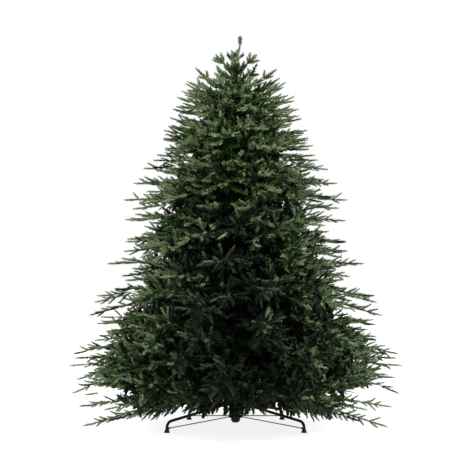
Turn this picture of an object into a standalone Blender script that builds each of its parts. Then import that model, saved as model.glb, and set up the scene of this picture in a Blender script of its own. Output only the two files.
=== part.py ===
"""An artificial fir: a steel pole in a four-legged stand, carrying tiers of needle-covered masses.

The crown is worked out from one outline, reach_at, and one list of tiers. Every tier is cut into equal
sectors round the pole, and each sector is one mass: a stem, a dense core, and boughs whose toothed sprays
stand out of the core and end on the outline. Opposite masses match, so the crown is centred on its pole.
Metres, +Z up, standing on Z = 0, with the pole on the Z axis and the front of the tree towards -Y.
"""

import math
import random

import bmesh
import bpy
from mathutils import Matrix, Vector

# Whole tree
TREE_HEIGHT = 2.10
CROWN_RADIUS = 0.92
WIDEST_HEIGHT = 0.33
SHOULDER_RADIUS = 0.283
SHOULDER_HEIGHT = 1.84
TOP_BULGE = 0.90
GROUND_TUCK = 0.10
TOUCH_GAP = 0.0003
SEED = 20

# Tiers, counted up from the ground
TIER_MASSES = (6, 6, 6, 4, 4, 4, 4)
TIER_BOUGHS = (4, 4, 4, 5, 5, 5, 4)
LOWEST_ROOT = 0.335
HIGHEST_ROOT = 1.63
LOWEST_SLOPE = math.radians(-17)
HIGHEST_SLOPE = math.radians(26)
SLOPE_CURVE = 0.85
TIER_WAVE = 0.030
WAVES_ROUND = 3
WAVE_STEP = 2.0
WAVE_FULL_RADIUS = 0.35
BOUGH_SPREAD = 0.76
BOUGH_LIFT = 0.82
ROOT_SPREAD = 0.045
TURN_JITTER = 0.06
RAGGED = 0.06
SEARCH_STEPS = 12
UNDERSIDE_HEIGHT = 0.160
UNDERSIDE_FALL = 0.13

# Masses
SIDE_GAP = 0.003
TIER_GAP = 0.003
CORE_START = 0.030
CORE_ROUGHNESS = 0.04
CORE_JITTER = 0.05
RIDGE_SHAPE = (0.63, 0.86, 0.97)
VALLEY_SHAPE = (0.54, 0.65, 0.94)
RIDGE_LEAN = 0.18
RIDGE_LIFT = 0.8
STEM_RADIUS = 0.0060
STEM_SHARE = 0.50
STEM_TAPER = 0.6
BARE_RADIUS = 0.0075
BARE_LENGTH = 0.125

# Boughs of needles: a ribbed blade with pairs of pointed shoots along it
BLADE_START = 0.66
FIRST_SHOOT = 0.26
LAST_SHOOT = 0.80
SHOOT_SPACING = 0.085
MOST_SHOOTS = 3
SHOOT_REACH = 0.150
SHOOT_TAPER = 0.62
SHOOT_JITTER = 0.15
SHOOT_ANGLES = (math.radians(31), math.radians(39))
SHOOT_RISES = (-0.12, 0.32)
SHOOT_CUTS = (1.0, 0.7, 0.45, 0.2)
RIB_WIDTH = 0.017
RIB_THICKNESS = 0.011
RIB_TAPER = 0.55
SMALLEST_SCALE = 0.55

# Tufts that hang below the front and the back mass of the lowest tier, in front of the stand's hub
TUFT_TURNS = (math.radians(-9), math.radians(13))
TUFT_ROOT = (0.19, 0.20)
TUFT_TIP = (0.27, 0.072)
TUFT_SCALE = 0.74

# Top of the tree
TOP_STEM_FOOT = 1.742
TOP_STEM_TIP = 1.98
TOP_STEM_RADIUS = 0.008
TOP_SEED = 920
TOP_LEADER_FOOT = 1.94
TOP_WHORLS = ((1.800, 0.240, 27, 5), (1.875, 0.150, 36, 4), (1.935, 0.085, 50, 2))
TOP_LEAN = 0.024
TOP_CORE = ((0, 1.765), (0.045, 1.785), (0.105, 1.845), (0.060, 1.905), (0.018, 1.965), (0, 1.968))
TOP_SIDES = 6
TOP_JITTER = 0.15
TOP_BLADE_SCALE = 0.6
TOP_LEADER_SCALE = 0.48
OFF_CENTRE = 0.002

# Pole: (height of the lower end, radius), each section plugged into the one below
POLE_FOOT = 0.0343
POLE_SECTIONS = ((POLE_FOOT, 0.016), (0.66, 0.0135), (1.30, 0.0095))
POLE_TOP = TOP_STEM_FOOT - TOUCH_GAP
COLLAR_HEIGHT = 0.045
COLLAR_RISE = 0.002
ROUND_SIDES = 16
SHARP_ANGLE = math.radians(35)

# Stand
HUB_FOOT = 0.024
HUB_TOP = 0.150
HUB_RADIUS = 0.025
HUB_BORE = 0.0168
LEG_COLLAR_RADIUS = 0.031
BRACE_COLLAR_RADIUS = 0.033
BRACE_COLLAR_HEIGHT = 0.058
LEG_COLLAR_HALF = 0.013
BRACE_COLLAR_HALF = 0.007
LEG_AZIMUTHS = (216, 324, 54, 126)
LEG_REACH = 0.44
LEG_RADIUS = 0.0075
LEG_SLOPE = math.radians(10.5)
LEG_BEND = 0.034
LEG_BEND_STEPS = 6
LEG_UPRIGHT = 0.008
CAP_HEIGHT = 0.018
CAP_SIDES = 10
CAP_TOP_RADIUS = 0.0105
CAP_FOOT_RADIUS = 0.0155
BRACE_RADIUS = 0.0026
BRACE_OUTER_HEIGHT = 0.0222
LIMB_SIDES = 6
STEM_SIDES = 4

# Colours: base colour, roughness, metallic
NEEDLE_GREEN = ((0.030, 0.068, 0.022, 1), 0.55, 0.0)
BARK_BROWN = ((0.050, 0.040, 0.024, 1), 0.75, 0.0)
POLE_GREEN = ((0.020, 0.032, 0.018, 1), 0.45, 0.3)
STAND_BLACK = ((0.012, 0.012, 0.013, 1), 0.35, 0.6)
CAP_BLACK = ((0.015, 0.015, 0.015, 1), 0.70, 0.0)


def clear_scene():
    for old in list(bpy.data.objects):
        bpy.data.objects.remove(old)


def make_material(name, finish):
    colour, roughness, metallic = finish
    material = bpy.data.materials.new(name)
    material.use_nodes = True
    shader = material.node_tree.nodes["Principled BSDF"]
    shader.inputs["Base Color"].default_value = colour
    shader.inputs["Roughness"].default_value = roughness
    shader.inputs["Metallic"].default_value = metallic
    return material


def object_from(bm, name, material=None):
    """A new object holding bm's faces."""
    mesh = bpy.data.meshes.new(name)
    bm.to_mesh(mesh)
    bm.free()
    made = bpy.data.objects.new(name, mesh)
    bpy.context.scene.collection.objects.link(made)
    if material:
        mesh.materials.append(material)
    return made


def polar(azimuth, radius, height):
    return Vector((radius * math.cos(azimuth), radius * math.sin(azimuth), height))


def blend(low, high, share):
    return low + (high - low) * share


# ---------------------------------------------------------------- the crown's outline and its tiers


def reach_at(height):
    """The distance from the pole to the tips at a height: a cone with a rounded top and a tucked foot."""
    if height < WIDEST_HEIGHT:
        return CROWN_RADIUS * (1 - GROUND_TUCK * (WIDEST_HEIGHT - height) / WIDEST_HEIGHT)
    if height < SHOULDER_HEIGHT:
        share = (height - WIDEST_HEIGHT) / (SHOULDER_HEIGHT - WIDEST_HEIGHT)
        return blend(CROWN_RADIUS, SHOULDER_RADIUS, share)
    left = max(0.0, TREE_HEIGHT - height) / (TREE_HEIGHT - SHOULDER_HEIGHT)
    return SHOULDER_RADIUS * left**TOP_BULGE


def tier_root(tier):
    """The height where a tier's middle line meets the pole's axis."""
    share = tier / (len(TIER_MASSES) - 1)
    return blend(LOWEST_ROOT, HIGHEST_ROOT, share)


def tier_slope(tier):
    """The rise of a tier's middle line for each metre outwards."""
    share = (tier / (len(TIER_MASSES) - 1)) ** SLOPE_CURVE
    return math.tan(blend(LOWEST_SLOPE, HIGHEST_SLOPE, share))


def line_height(tier, radius):
    return tier_root(tier) + tier_slope(tier) * radius


def ceiling(tier, radius, azimuth):
    """The surface between a tier and the one above it, which waves up and down round the tree."""
    if tier == len(TIER_MASSES):
        return TREE_HEIGHT
    wave = math.cos(WAVES_ROUND * azimuth + WAVE_STEP * tier) * min(1, radius / WAVE_FULL_RADIUS)
    return (line_height(tier, radius) + line_height(tier + 1, radius)) / 2 + TIER_WAVE * wave


def floor_of(tier, radius, azimuth):
    """The surface under a tier. The lowest one is level over the front and back, and falls to the sides."""
    if tier:
        return ceiling(tier - 1, radius, azimuth)
    return UNDERSIDE_HEIGHT - UNDERSIDE_FALL * radius * math.cos(azimuth) ** 2


def middle_height(tier, radius, azimuth):
    """Half way between a tier's floor and its ceiling."""
    return (floor_of(tier, radius, azimuth) + ceiling(tier, radius, azimuth)) / 2


def lifted(tier, radius, azimuth, lift):
    """A height in the tier: its floor at a lift of -1, its middle at 0 and its ceiling at 1."""
    limit = ceiling if lift > 0 else floor_of
    return blend(middle_height(tier, radius, azimuth), limit(tier, radius, azimuth), abs(lift))


def tip_of(tier, azimuth, lift, shorter):
    """(radius, height) where a bough that is lifted by this share of its tier ends, on the outline."""
    radius = CROWN_RADIUS / 2
    for _ in range(SEARCH_STEPS):
        height = lifted(tier, radius, azimuth, lift)
        radius = (radius + reach_at(height) * shorter) / 2
    return radius, height


def first_azimuth(tier):
    """The azimuth of a tier's first mass, turned so that no seam lies over the seam below it."""
    count = TIER_MASSES[tier]
    shift = 1 / 2 + tier % 2 if count == 4 else 1 + tier % 3 * 2 / 3
    return shift * math.pi / count


def plan_boughs(tier, azimuth, half_angle, rng):
    """A mass's boughs, evenly spread across it, each with its own lift."""
    count = TIER_BOUGHS[tier]
    steps = [2 * i / (count - 1) - 1 for i in range(count)]
    boughs = []
    for step, lift in zip(steps, rng.sample(steps, count)):
        lift *= BOUGH_LIFT
        turn = (step * BOUGH_SPREAD + rng.uniform(-TURN_JITTER, TURN_JITTER)) * half_angle
        outermost = abs(step) == 1
        radius, height = tip_of(tier, azimuth + turn, lift, 1 - RAGGED * rng.random() * outermost)
        root = tier_root(tier) + lift * ROOT_SPREAD
        boughs.append(
            {"turn": turn, "azimuth": azimuth + turn, "lift": lift, "root": root,
             "radius": radius, "height": height}
        )
    return boughs


def plan_masses():
    """Each mass as a dict: its tier, sector, azimuth, half angle and boughs. Opposite masses match."""
    masses = []
    for tier, count in enumerate(TIER_MASSES):
        half_angle = math.pi / count
        for sector in range(count):
            rng = random.Random(SEED + 100 * tier + sector % (count // 2))
            azimuth = first_azimuth(tier) + 2 * half_angle * sector
            boughs = plan_boughs(tier, azimuth, half_angle, rng)
            masses.append(
                {"tier": tier, "sector": sector, "azimuth": azimuth, "half_angle": half_angle,
                 "boughs": boughs, "rng": rng}
            )
    return masses


def bough_point(bough, share):
    """A point on a bough's line, from the pole's axis at 0 to the tip at 1."""
    height = blend(bough["root"], bough["height"], share)
    return polar(bough["azimuth"], bough["radius"] * share, height)


def inside(mass, point, margin):
    """Whether a point is in the mass's own space, this far from its sides."""
    radius, azimuth = math.hypot(point.x, point.y), math.atan2(point.y, point.x)
    tier = mass["tier"]
    lowest = TUFT_TIP[1] if mass.get("hangs") else floor_of(tier, radius, azimuth) + margin
    if not lowest < point.z < ceiling(tier, radius, azimuth) - margin:
        return False
    turn = azimuth - mass["azimuth"]
    spare = mass["half_angle"] - abs((turn + math.pi) % (2 * math.pi) - math.pi)
    return spare > math.pi / 2 or radius * math.sin(spare) > margin


# ---------------------------------------------------------------- shapes that the masses are fused from


def blade_faces(bm, ribs, edges, shoots, tip, side, face):
    """The faces of one quarter of a blade: right or left of its rib, and above or below it."""
    corners = [(ribs[0], edges[0], edges[1]), (ribs[0], edges[1], ribs[1])]
    for i, shoot in enumerate(shoots, 1):
        corners += [(ribs[i], edges[i], shoot), (ribs[i], shoot, edges[i + 1])]
        corners.append((ribs[i], edges[i + 1], ribs[i + 1]))
    corners.append((ribs[-1], edges[-1], tip))
    for corner in corners:
        bm.faces.new(corner if side == face else corner[::-1])


def shoot_tip(mass, place, forward, sideways, up, reach):
    """Where a shoot from this place ends: cut short, step by step, until it stays in the mass."""
    rng = mass["rng"]
    angle = rng.uniform(*SHOOT_ANGLES)
    lean = forward * math.cos(angle) + sideways * math.sin(angle) + up * rng.uniform(*SHOOT_RISES)
    ends = [place + lean * reach * cut for cut in SHOOT_CUTS]
    fitting = [end for end in ends if inside(mass, end, SIDE_GAP)]
    return fitting[0] if fitting else ends[-1]


def add_blade(mass, root, tip, scale):
    """A bough of needles from root to tip: a thin ribbed blade with pairs of pointed shoots."""
    length = (tip - root).length
    forward = (tip - root) / length
    right = forward.cross(Vector((0, 0, 1))).normalized()
    up = right.cross(forward)
    pairs = max(1, min(MOST_SHOOTS, round(length / (SHOOT_SPACING * scale))))
    shares = [0] + [blend(FIRST_SHOOT, LAST_SHOOT, i / pairs) for i in range(pairs + 1)]
    places = [root + forward * length * share for share in shares]
    sizes = [scale * blend(1, RIB_TAPER, share) for share in shares]
    bm = bmesh.new()
    tops = [bm.verts.new(p + up * RIB_THICKNESS / 2 * size) for p, size in zip(places, sizes)]
    bottoms = [bm.verts.new(p - up * RIB_THICKNESS / 2 * size) for p, size in zip(places, sizes)]
    point = bm.verts.new(tip)
    corners = []
    for side in (1, -1):
        sideways = right * side
        edges = [bm.verts.new(p + sideways * RIB_WIDTH / 2 * size) for p, size in zip(places, sizes)]
        shoots = []
        for i in range(pairs):
            jitter = mass["rng"].uniform(1 - SHOOT_JITTER, 1 + SHOOT_JITTER)
            reach = SHOOT_REACH * scale * blend(1, SHOOT_TAPER, i / pairs) * jitter
            shoots.append(bm.verts.new(shoot_tip(mass, places[i + 1], forward, sideways, up, reach)))
        blade_faces(bm, tops, edges, shoots, point, side, 1)
        blade_faces(bm, bottoms, edges, shoots, point, side, -1)
        corners.append(edges[0])
    bm.faces.new((tops[0], corners[1], bottoms[0], corners[0]))
    return object_from(bm, "blade")


def add_limb(root, tip, root_radius, tip_radius, sides=LIMB_SIDES, name="limb", material=None):
    """A tapering round limb from root to tip, with flat ends."""
    bm = bmesh.new()
    run = tip - root
    bmesh.ops.create_cone(
        bm, cap_ends=True, segments=sides, radius1=root_radius, radius2=tip_radius, depth=run.length
    )
    turn = run.to_track_quat("Z", "Y").to_matrix().to_4x4()
    bm.transform(Matrix.Translation((root + tip) / 2) @ turn)
    return object_from(bm, name, material)


def fuse(name, base, parts, material):
    """One Boolean union of base with the parts, applied. The parts are removed."""
    extra = bpy.data.collections.new(name + "_parts")
    for part in parts:
        bpy.context.scene.collection.objects.unlink(part)
        extra.objects.link(part)
    bpy.context.scene.collection.children.link(extra)
    union = base.modifiers.new("union", "BOOLEAN")
    union.operation = "UNION"
    union.operand_type = "COLLECTION"
    union.collection = extra
    union.solver = "EXACT"
    graph = bpy.context.evaluated_depsgraph_get()
    joined = bpy.data.meshes.new_from_object(base.evaluated_get(graph))
    made = bpy.data.objects.new(name, joined)
    bpy.context.scene.collection.objects.link(made)
    joined.materials.clear()
    joined.materials.append(material)
    for old in (*parts, base):
        bpy.data.objects.remove(old)
    bpy.data.collections.remove(extra)


# ---------------------------------------------------------------- masses


def jitter(rng):
    return rng.uniform(1 - CORE_JITTER, 1 + CORE_JITTER)


def core_profile(mass, turn, start, reach, shape, lift):
    """A core's outline in one upright plane, as (radius, height), going up the outside."""
    tier, rng, azimuth = mass["tier"], mass["rng"], mass["azimuth"] + turn
    shoulder, edge, fullness = shape
    low, high = [], []
    for side, points in ((-1, low), (1, high)):
        out = reach * shoulder * (1 + side * lift * RIDGE_LEAN) * jitter(rng)
        for radius, full in ((start, 1), (out, fullness)):
            middle = middle_height(tier, radius, azimuth)
            half = (ceiling(tier, radius, azimuth) - middle - TIER_GAP) * full
            points.append((radius, middle + side * half * (1 - CORE_ROUGHNESS * rng.random())))
    radius = reach * edge * jitter(rng)
    return [*low, (radius, lifted(tier, radius, azimuth, lift * RIDGE_LIFT)), *high[::-1]]


def core_columns(mass):
    """The core's upright planes as (turn, reach, shape, lift): a ridge for each bough between valleys."""
    boughs = mass["boughs"]
    columns = [(-mass["half_angle"], boughs[0]["radius"], VALLEY_SHAPE, 0)]
    for bough, after in zip(boughs, boughs[1:] + [None]):
        columns.append((bough["turn"], bough["radius"], RIDGE_SHAPE, bough["lift"]))
        if after:
            turn, reach = (bough["turn"] + after["turn"]) / 2, (bough["radius"] + after["radius"]) / 2
            columns.append((turn, reach, VALLEY_SHAPE, 0))
    return columns + [(mass["half_angle"], boughs[-1]["radius"], VALLEY_SHAPE, 0)]


def add_core(mass, start):
    """The dense middle of a mass: its upright planes joined by faces."""
    shift = polar(mass["azimuth"], SIDE_GAP / math.sin(mass["half_angle"]), 0)
    bm = bmesh.new()
    rings = []
    for turn, reach, shape, lift in core_columns(mass):
        profile = core_profile(mass, turn, start, reach, shape, lift)
        rings.append([bm.verts.new(polar(mass["azimuth"] + turn, r, z) + shift) for r, z in profile])
    for ring, after in zip(rings, rings[1:]):
        for i in range(len(ring)):
            j = (i + 1) % len(ring)
            bm.faces.new((ring[i], after[i], after[j], ring[j]))
    bm.faces.new(rings[0])
    bm.faces.new(rings[-1][::-1])
    bmesh.ops.triangulate(bm, faces=bm.faces)
    return object_from(bm, "core")


def pole_radius(height):
    """The pole's radius at a height, away from its collars."""
    return [radius for foot, radius in POLE_SECTIONS if height >= foot][-1]


def stem_start(height, slope, radius):
    """How far from the axis a sloping limb of this radius starts, just clear of the pole."""
    return pole_radius(height) + TOUCH_GAP + radius * abs(math.sin(math.atan(slope)))


def add_bare_bough(mass, bark):
    """The bare bough that carries a mass of the lowest tier. Returns its tip and its direction."""
    azimuth = mass["azimuth"]
    start = stem_start(tier_root(0), tier_slope(0), BARE_RADIUS)
    foot = polar(azimuth, start, line_height(0, start))
    tip = polar(azimuth, BARE_LENGTH, line_height(0, BARE_LENGTH))
    add_limb(foot, tip, BARE_RADIUS, STEM_RADIUS, name=f"bough_{mass['sector'] + 1}", material=bark)
    return tip, (tip - foot).normalized()


def tuft_blades(mass):
    """The small boughs that hang from a mass over the front or the back of the stand."""
    blades = []
    for turn in TUFT_TURNS:
        root, tip = (polar(mass["azimuth"] + turn, *place) for place in (TUFT_ROOT, TUFT_TIP))
        blades.append(add_blade({**mass, "hangs": True}, root, tip, TUFT_SCALE))
    return blades


def add_mass(mass, needles, bark):
    """One mass and, in the lowest tier, the bare bough that carries it."""
    tier, azimuth = mass["tier"], mass["azimuth"]
    reach = sum(bough["radius"] for bough in mass["boughs"]) / len(mass["boughs"])
    if tier == 0:
        bough_tip, direction = add_bare_bough(mass, bark)
        start = BARE_LENGTH
        foot = bough_tip + direction * TOUCH_GAP
    else:
        start = stem_start(tier_root(tier), tier_slope(tier), STEM_RADIUS)
        foot = polar(azimuth, start, line_height(tier, start))
    tip = polar(azimuth, reach * STEM_SHARE, line_height(tier, reach * STEM_SHARE))
    stem = add_limb(foot, tip, STEM_RADIUS, STEM_RADIUS * STEM_TAPER, STEM_SIDES)
    parts = [add_core(mass, start + CORE_START)]
    scale = blend(SMALLEST_SCALE, 1, reach / CROWN_RADIUS)
    for bough in mass["boughs"]:
        parts.append(add_blade(mass, bough_point(bough, BLADE_START), bough_point(bough, 1), scale))
    if tier == 0 and abs(math.cos(azimuth)) < TOUCH_GAP:
        parts += tuft_blades(mass)
    fuse(f"mass_{tier + 1}_{mass['sector'] + 1}", stem, parts, needles)


def add_top(needles):
    """The mass above the pole: a leading shoot with whorls of small boughs round it."""
    rng = random.Random(TOP_SEED)
    space = {"tier": len(TIER_MASSES), "azimuth": 0, "half_angle": 2 * math.pi, "rng": rng}
    foot, head = Vector((0, 0, TOP_STEM_FOOT)), Vector((0, 0, TOP_STEM_TIP))
    stem = add_limb(foot, head, TOP_STEM_RADIUS, TOP_STEM_RADIUS / 2)
    core = revolved(TOP_CORE, "core", needles, TOP_SIDES)
    for vert in core.data.vertices:
        vert.co.xy *= rng.uniform(1 - TOP_JITTER, 1 + TOP_JITTER)
    leader_foot = Vector((OFF_CENTRE, 0, TOP_LEADER_FOOT))
    leader_tip = Vector((TOP_LEAN, OFF_CENTRE, TREE_HEIGHT))
    parts = [core, add_blade(space, leader_foot, leader_tip, TOP_LEADER_SCALE)]
    for whorl, (height, reach, rise, count) in enumerate(TOP_WHORLS):
        for i in range(count):
            azimuth = 2 * math.pi * i / count + whorl
            off_centre = [rng.uniform(-OFF_CENTRE, OFF_CENTRE) for _ in range(2)]
            root = Vector((*off_centre, height - OFF_CENTRE * i))
            tip = polar(azimuth, reach, height + reach * math.tan(math.radians(rise)))
            parts.append(add_blade(space, root, tip, TOP_BLADE_SCALE))
    fuse("mass_top", stem, parts, needles)


# ---------------------------------------------------------------- pole and stand


def revolved(profile, name, material, sides=ROUND_SIDES):
    """A closed solid of revolution about the Z axis, from (radius, height) points."""
    bm = bmesh.new()
    ring = [bm.verts.new((r, 0, z)) for r, z in profile]
    edges = [bm.edges.new(pair) for pair in zip(ring, ring[1:])]
    bmesh.ops.spin(
        bm, geom=ring + edges, axis=(0, 0, 1), cent=(0, 0, 0), angle=2 * math.pi,
        steps=sides, use_merge=True
    )
    bmesh.ops.remove_doubles(bm, verts=bm.verts, dist=1e-5)
    bmesh.ops.recalc_face_normals(bm, faces=bm.faces)
    made = object_from(bm, name, material)
    made.data.shade_smooth()
    made.data.set_sharp_from_angle(angle=SHARP_ANGLE)
    return made


def add_pole(material):
    """Three tubes plugged into each other, each mouth with a short collar."""
    profile = [(0, POLE_FOOT)]
    for (foot, radius), (head, _) in zip(POLE_SECTIONS, POLE_SECTIONS[1:]):
        wide, mouth = radius + COLLAR_RISE, head - COLLAR_HEIGHT
        profile += [(radius, foot), (radius, mouth), (wide, mouth), (wide, head)]
    foot, radius = POLE_SECTIONS[-1]
    profile += [(radius, foot), (radius, POLE_TOP), (0, POLE_TOP)]
    revolved(profile, "pole", material)


def collar(middle, half_height, radius):
    """The outline of a collar round the hub, going up."""
    low, high = middle - half_height, middle + half_height
    return [(HUB_RADIUS, low), (radius, low), (radius, high), (HUB_RADIUS, high)]


def add_hub(material):
    """The socket that the pole stands in, with a collar for the braces and one for the legs."""
    profile = [
        (0, HUB_FOOT),
        (HUB_RADIUS, HUB_FOOT),
        *collar(BRACE_COLLAR_HEIGHT, BRACE_COLLAR_HALF, BRACE_COLLAR_RADIUS),
        *collar(leg_height(), LEG_COLLAR_HALF, LEG_COLLAR_RADIUS),
        (HUB_RADIUS, HUB_TOP),
        (HUB_BORE, HUB_TOP),
        (HUB_BORE, POLE_FOOT - TOUCH_GAP),
        (0, POLE_FOOT - TOUCH_GAP),
    ]
    revolved(profile, "stand_hub", material)


def leg_bend_start():
    """(radius, height) where a leg's straight arm turns down to its foot."""
    radius = LEG_REACH - LEG_BEND * (1 - math.sin(LEG_SLOPE))
    height = CAP_HEIGHT + TOUCH_GAP + LEG_UPRIGHT + LEG_BEND * math.cos(LEG_SLOPE)
    return radius, height


def leg_start_radius():
    return LEG_COLLAR_RADIUS + TOUCH_GAP + LEG_RADIUS * math.sin(LEG_SLOPE)


def leg_height():
    """The height where the legs leave the hub."""
    radius, height = leg_bend_start()
    return height + (radius - leg_start_radius()) * math.tan(LEG_SLOPE)


def leg_line():
    """A leg's centreline as (radius, height) points: the arm, the bend and the short upright."""
    bend_radius, bend_height = leg_bend_start()
    points = [(leg_start_radius(), leg_height())]
    for step in range(LEG_BEND_STEPS + 1):
        angle = blend(LEG_SLOPE, math.pi / 2, step / LEG_BEND_STEPS)
        out = LEG_BEND * (math.sin(angle) - math.sin(LEG_SLOPE))
        down = LEG_BEND * (math.cos(LEG_SLOPE) - math.cos(angle))
        points.append((bend_radius + out, bend_height - down))
    points.append((LEG_REACH, CAP_HEIGHT + TOUCH_GAP))
    return points


def add_leg(azimuth, number, material):
    curve = bpy.data.curves.new(f"stand_leg_{number}", "CURVE")
    curve.dimensions = "3D"
    curve.bevel_depth = LEG_RADIUS
    curve.bevel_resolution = 2
    curve.use_fill_caps = True
    curve.materials.append(material)
    line = leg_line()
    spline = curve.splines.new("POLY")
    spline.points.add(len(line) - 1)
    for point, (radius, height) in zip(spline.points, line):
        point.co = (*polar(azimuth, radius, height), 1)
    bpy.context.scene.collection.objects.link(bpy.data.objects.new(curve.name, curve))


def add_cap(azimuth, number, material):
    """A flared foot cap. Its flat underside stands on the ground."""
    bm = bmesh.new()
    bmesh.ops.create_cone(
        bm, cap_ends=True, segments=CAP_SIDES, radius1=CAP_FOOT_RADIUS, radius2=CAP_TOP_RADIUS,
        depth=CAP_HEIGHT
    )
    bm.transform(Matrix.Translation(polar(azimuth, LEG_REACH, CAP_HEIGHT / 2)))
    object_from(bm, f"stand_foot_{number}", material)


def add_brace(azimuth, number, material):
    """A thin rod from the hub's lower collar to the upright of a leg, just clear of both."""
    slope = (BRACE_COLLAR_HEIGHT - BRACE_OUTER_HEIGHT) / LEG_REACH
    clear = TOUCH_GAP + BRACE_RADIUS * math.sin(math.atan(slope))
    inner = polar(azimuth, BRACE_COLLAR_RADIUS + clear, BRACE_COLLAR_HEIGHT)
    outer = polar(azimuth, LEG_REACH - LEG_RADIUS - clear, BRACE_OUTER_HEIGHT)
    add_limb(inner, outer, BRACE_RADIUS, BRACE_RADIUS, name=f"stand_brace_{number}", material=material)


def add_stand(steel, rubber):
    add_hub(steel)
    for number, degrees in enumerate(LEG_AZIMUTHS, 1):
        azimuth = math.radians(degrees)
        add_leg(azimuth, number, steel)
        add_cap(azimuth, number, rubber)
        add_brace(azimuth, number, steel)


def main():
    clear_scene()
    needles = make_material("needles", NEEDLE_GREEN)
    bark = make_material("bark", BARK_BROWN)
    add_stand(make_material("stand_black", STAND_BLACK), make_material("cap_black", CAP_BLACK))
    add_pole(make_material("pole_green", POLE_GREEN))
    for mass in plan_masses():
        add_mass(mass, needles, bark)
    add_top(needles)


main()
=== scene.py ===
"""An artificial fir on a black steel stand, dressed with boughs, twigs and sprays of needles.

The boughs follow the same rule as the solids: one outline, reach_at, and tiers of equal sectors
round the pole. Every bough carries flat fronds, every frond carries shoots, and every shoot is a
spindle in a coat of folded needles. Metres, +Z up, on Z = 0, the front of the tree towards -Y.
"""

import random
from math import atan, atan2, ceil, cos, exp, hypot, pi, radians, sin, tan, tau

import bmesh
import bpy
import numpy as np
from bpy.props import FloatProperty, FloatVectorProperty, IntProperty, PointerProperty
from mathutils import Matrix, Vector


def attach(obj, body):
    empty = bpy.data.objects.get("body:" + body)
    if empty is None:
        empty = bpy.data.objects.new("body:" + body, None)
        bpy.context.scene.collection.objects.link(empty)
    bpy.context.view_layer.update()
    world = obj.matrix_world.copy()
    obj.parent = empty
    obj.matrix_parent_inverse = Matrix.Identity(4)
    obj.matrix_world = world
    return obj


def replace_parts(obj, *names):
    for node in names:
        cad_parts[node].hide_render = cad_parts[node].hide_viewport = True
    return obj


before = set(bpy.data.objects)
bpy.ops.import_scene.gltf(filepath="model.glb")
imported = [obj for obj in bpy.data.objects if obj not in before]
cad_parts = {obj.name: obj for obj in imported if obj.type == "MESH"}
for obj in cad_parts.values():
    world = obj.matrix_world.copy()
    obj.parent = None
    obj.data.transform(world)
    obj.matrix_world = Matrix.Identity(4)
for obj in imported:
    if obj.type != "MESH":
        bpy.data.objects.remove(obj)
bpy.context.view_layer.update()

bl_info = {
    "name": "Artificial fir",
    "version": (1, 0, 0),
    "blender": (4, 5, 0),
    "location": "3D View > Sidebar > Fir",
    "description": "Dresses an artificial fir with boughs, twigs and needles, and sets its stage",
    "category": "Add Mesh",
}

UP = Vector((0, 0, 1))
FRONT_AND_BACK, SIDES = (-90, 90), (0, 180)
NEAR_ZERO = 1e-6
SEED_STEP = 100


def angles(*degrees):
    return tuple(radians(angle) for angle in degrees)


# Tiers, counted up from the ground
TIER_MASSES = (6, 6, 6, 4, 4, 4, 4)
TIER_BOUGHS = (4, 4, 4, 5, 5, 5, 4)
TIER_FILLERS = (28, 32, 34, 34, 38, 42, 42)
LOWEST_SLOPE = radians(-17)
HIGHEST_SLOPE = radians(26)
SLOPE_CURVE = 0.85
TIER_WAVE = 0.03
WAVES_ROUND = 3
WAVE_STEP = 2
WAVE_FULL_RADIUS = 0.35
BOUGH_SPREAD = 0.76
BOUGH_LIFT = 0.82
ROOT_SPREAD = 0.045
TURN_JITTER = 0.06
RAGGED = (0.02, 0.02, 0.03, 0.07, 0.06, 0.05, 0.05)
RAGGED_SPAN = (-1, 0.8)
SEARCH_STEPS = 12
SIDE_EASE = (0.035, 0.075, 0.73, 0.36)
SIDE_FROM, SIDE_OVER = 0.74, 0.16
UNDERSIDE_HEIGHT = 0.16
UNDERSIDE_FALL = 0.13
TOP_BULGE = 0.9
GROUND_TUCK = 0.1

# Fillers: shorter boughs between the main ones, with the share of the crown's reach that each has
FILLER_REACH = ((0.82, 0.99),) * 4 + ((0.9, 1.02),) * 3
FILLER_LIFT = 0.97

# Boughs
BOUGH_SEGMENT = 0.06
BOUGH_ARCH = (0, 0, 0.02, 0.04, 0.07, 0.1, 0.12)
ARCH_JITTER = 0.025
FRONT_ARCH = 0.05
FRONT_SWAY = 0.14
BOUGH_RADII = (0.0048, 0.0022)
BOUGH_ROOT = 0.016
BOUGH_LEADERS = (0.95, 1.08)
SHORT_BOUGH = 0.62
FIRST_FROND = 0.22
END_FROND = 0.18
STATION_GAPS = (1.65, 0.64)

# Fronds
FROND_ANGLES = angles(36, 54)
RISING_ANGLES = angles(34, 60)
RISING_REACH = 0.76
FROND_RISE = (-0.3, 0.46)
FROND_TIP_SHARE = 0.6
FROND_JITTER = 0.16
FROND_ROLL = radians(55)
END_ROLL = angles(5, 65)
CALM_TOP = 0.35
TIP_FALL = (0, 0.5)
TIP_SWAY = (0.5, 1.2)
FRONT_SPREADS = angles(3, 14)
FRONT_FALL = 0.15
BACKED = (0.4, 0.84)
BACKING_LEAN = (-0.2, 0.9)
BACKING_LENGTH = 0.095
EDGE_OF_CROWN = 0.97
EDGE_OF_LEADERS = 1.02
TIP_EASE = 0.04
INSIDE = 0.45
INSIDE_GAP = 1.25
COATED = 0.7
LOWEST_TIP = 0.068
SHORTEST_FROND = 0.055
PAIR_GAP = 0.032
SHOOT_ANGLES = angles(22, 42)
SHOOT_RISE = (-0.2, 0.4)
SHOOT_TAPER = 0.82
SHOOT_LENGTHS = (0.62, 1.18)
MISSING_SHOOTS = 0.16
TWIG_RADIUS = 0.0015
LEAST_TWIG = 0.02
FROND_LEADERS = (0.7, 0.95)
COAT_OVERLAP = 1.15
PAIR_PLACE = 0.75
FIT_TRIES, FIT_STEP = 5, 0.8

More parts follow.
